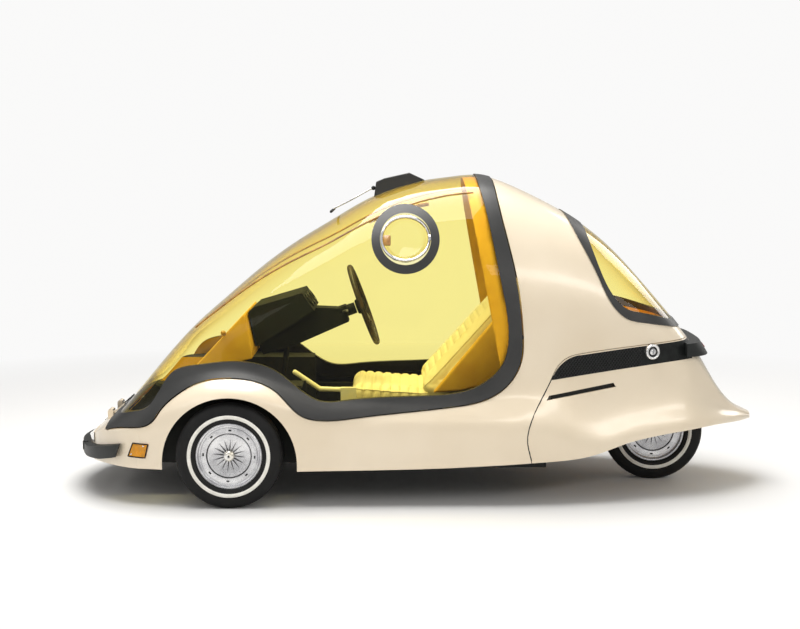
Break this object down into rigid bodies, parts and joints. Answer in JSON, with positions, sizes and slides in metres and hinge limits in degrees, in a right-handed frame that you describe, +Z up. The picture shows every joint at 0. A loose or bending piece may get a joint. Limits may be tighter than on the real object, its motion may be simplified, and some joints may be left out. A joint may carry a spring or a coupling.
{
  "type": "three-wheeled bubble microcar with a tilting glass canopy",
  "caption": "Small enclosed three-wheeler with a low rounded body, a nose-hinged amber glass canopy, steered front wheels and a rear driving wheel.",
  "frame": {"origin": "centre of the car's plan on the floor it stands on", "axes": "+X towards the tail, +Y towards the car's right side, +Z up; the nose points to -X"},
  "size_m": [3.0901, 1.32, 1.42],
  "materials": {
    "body_paint": "pale gold pearl paint",
    "dark_frame": "satin dark grey paint",
    "amber_glazing": "amber tinted clear glazing",
    "bright_trim": "polished",
    "vent_mesh": "black mesh",
    "amber_lens": "clear amber lens",
    "clear_lens": "clear ribbed lens",
    "black_steel": "black paint",
    "plain_steel": "bare steel",
    "tub_lining": "dark moulded lining",
    "shelf_lining": "tan moulded lining",
    "seat_leather": "cream sewn leather",
    "black_plastic": "grained black plastic",
    "cream_plastic": "cream moulded plastic",
    "engine_alloy": "cast alloy",
    "tyre_rubber": "black rubber with a thin white ring",
    "wheel_alloy": "ribbed silver wheel"
  },
  "bodies": {
    "chassis": {"body_shell": "body_paint", "engine_block": "engine_alloy", "engine_cover": "body_paint", "floor_tub": "tub_lining", "front_bumper": "dark_frame", "front_indicators": "amber_lens", "front_subframe": "black_steel", "fuel_cap": "bright_trim", "hand_brake": "cream_plastic", "headlamps": "clear_lens", "hinge_bases": "black_steel", "instrument_binnacle": "black_plastic", "luggage_shelf": "shelf_lining", "pedals": "black_steel", "rack_housing": "black_steel", "rear_frame": "black_steel", "rear_springs": "plain_steel", "rear_window": "amber_glazing", "rear_window_frame": "dark_frame", "seat_back": "seat_leather", "seat_base": "tub_lining", "seat_cushion": "seat_leather", "side_vents": "vent_mesh", "steering_column": "black_plastic", "swing_arm": "black_steel", "tail_bar": "dark_frame", "wishbones_left": "black_steel", "wishbones_right": "black_steel"},
    "canopy": {"canopy_frame": "dark_frame", "canopy_glass": "amber_glazing", "porthole_ring": "bright_trim", "porthole_lid": "amber_glazing", "roof_housing": "dark_frame", "wiper": "black_steel", "hinge_lugs": "black_steel"},
    "knuckle_left": {"knuckle_left": "black_steel"},
    "knuckle_right": {"knuckle_right": "black_steel"},
    "wheel_front_left": {"tyre_front_left": "tyre_rubber", "rim_front_left": "wheel_alloy"},
    "wheel_front_right": {"tyre_front_right": "tyre_rubber", "rim_front_right": "wheel_alloy"},
    "wheel_rear": {"tyre_rear": "tyre_rubber", "rim_rear": "wheel_alloy"},
    "steering_wheel": {"steering_wheel": "black_plastic"},
    "steering_rack": {"track_rod": "plain_steel"}
  },
  "joints": [
    {"name": "canopy_hinge", "type": "hinge", "parent": "chassis", "child": "canopy", "pos_m": [-1.4, 0, 0.336], "axis": [0, -1, 0], "range_deg": [0, 55]},
    {"name": "steer_left", "type": "hinge", "parent": "chassis", "child": "knuckle_left", "pos_m": [-0.806, -0.52, 0.228], "axis": [0, 0, 1], "range_deg": [-30, 30]},
    {"name": "steer_right", "type": "hinge", "parent": "chassis", "child": "knuckle_right", "pos_m": [-0.806, 0.52, 0.228], "axis": [0, 0, 1], "range_deg": [-30, 30]},
    {"name": "rack_slide", "type": "slide", "parent": "chassis", "child": "steering_rack", "axis": [0, 1, 0], "range_m": [-0.055, 0.055]},
    {"name": "steering_turn", "type": "hinge", "parent": "chassis", "child": "steering_wheel", "pos_m": [-0.246, 0, 0.812], "axis": [0.9397, 0, 0.342], "range_deg": [-360, 360]},
    {"name": "spin_front_left", "type": "hinge", "parent": "knuckle_left", "child": "wheel_front_left", "pos_m": [-0.806, -0.6, 0.228], "axis": [0, 1, 0], "continuous": true},
    {"name": "spin_front_right", "type": "hinge", "parent": "knuckle_right", "child": "wheel_front_right", "pos_m": [-0.806, 0.6, 0.228], "axis": [0, 1, 0], "continuous": true},
    {"name": "spin_rear", "type": "hinge", "parent": "chassis", "child": "wheel_rear", "pos_m": [1.1, 0, 0.228], "axis": [0, 1, 0], "continuous": true}
  ],
  "couplings": [
    {"joint": "steer_right", "follows": "steer_left", "ratio": 1},
    {"joint": "rack_slide", "follows": "steer_left", "m_per_rad": 0.105},
    {"joint": "steering_turn", "follows": "steer_left", "ratio": 12}
  ]
}
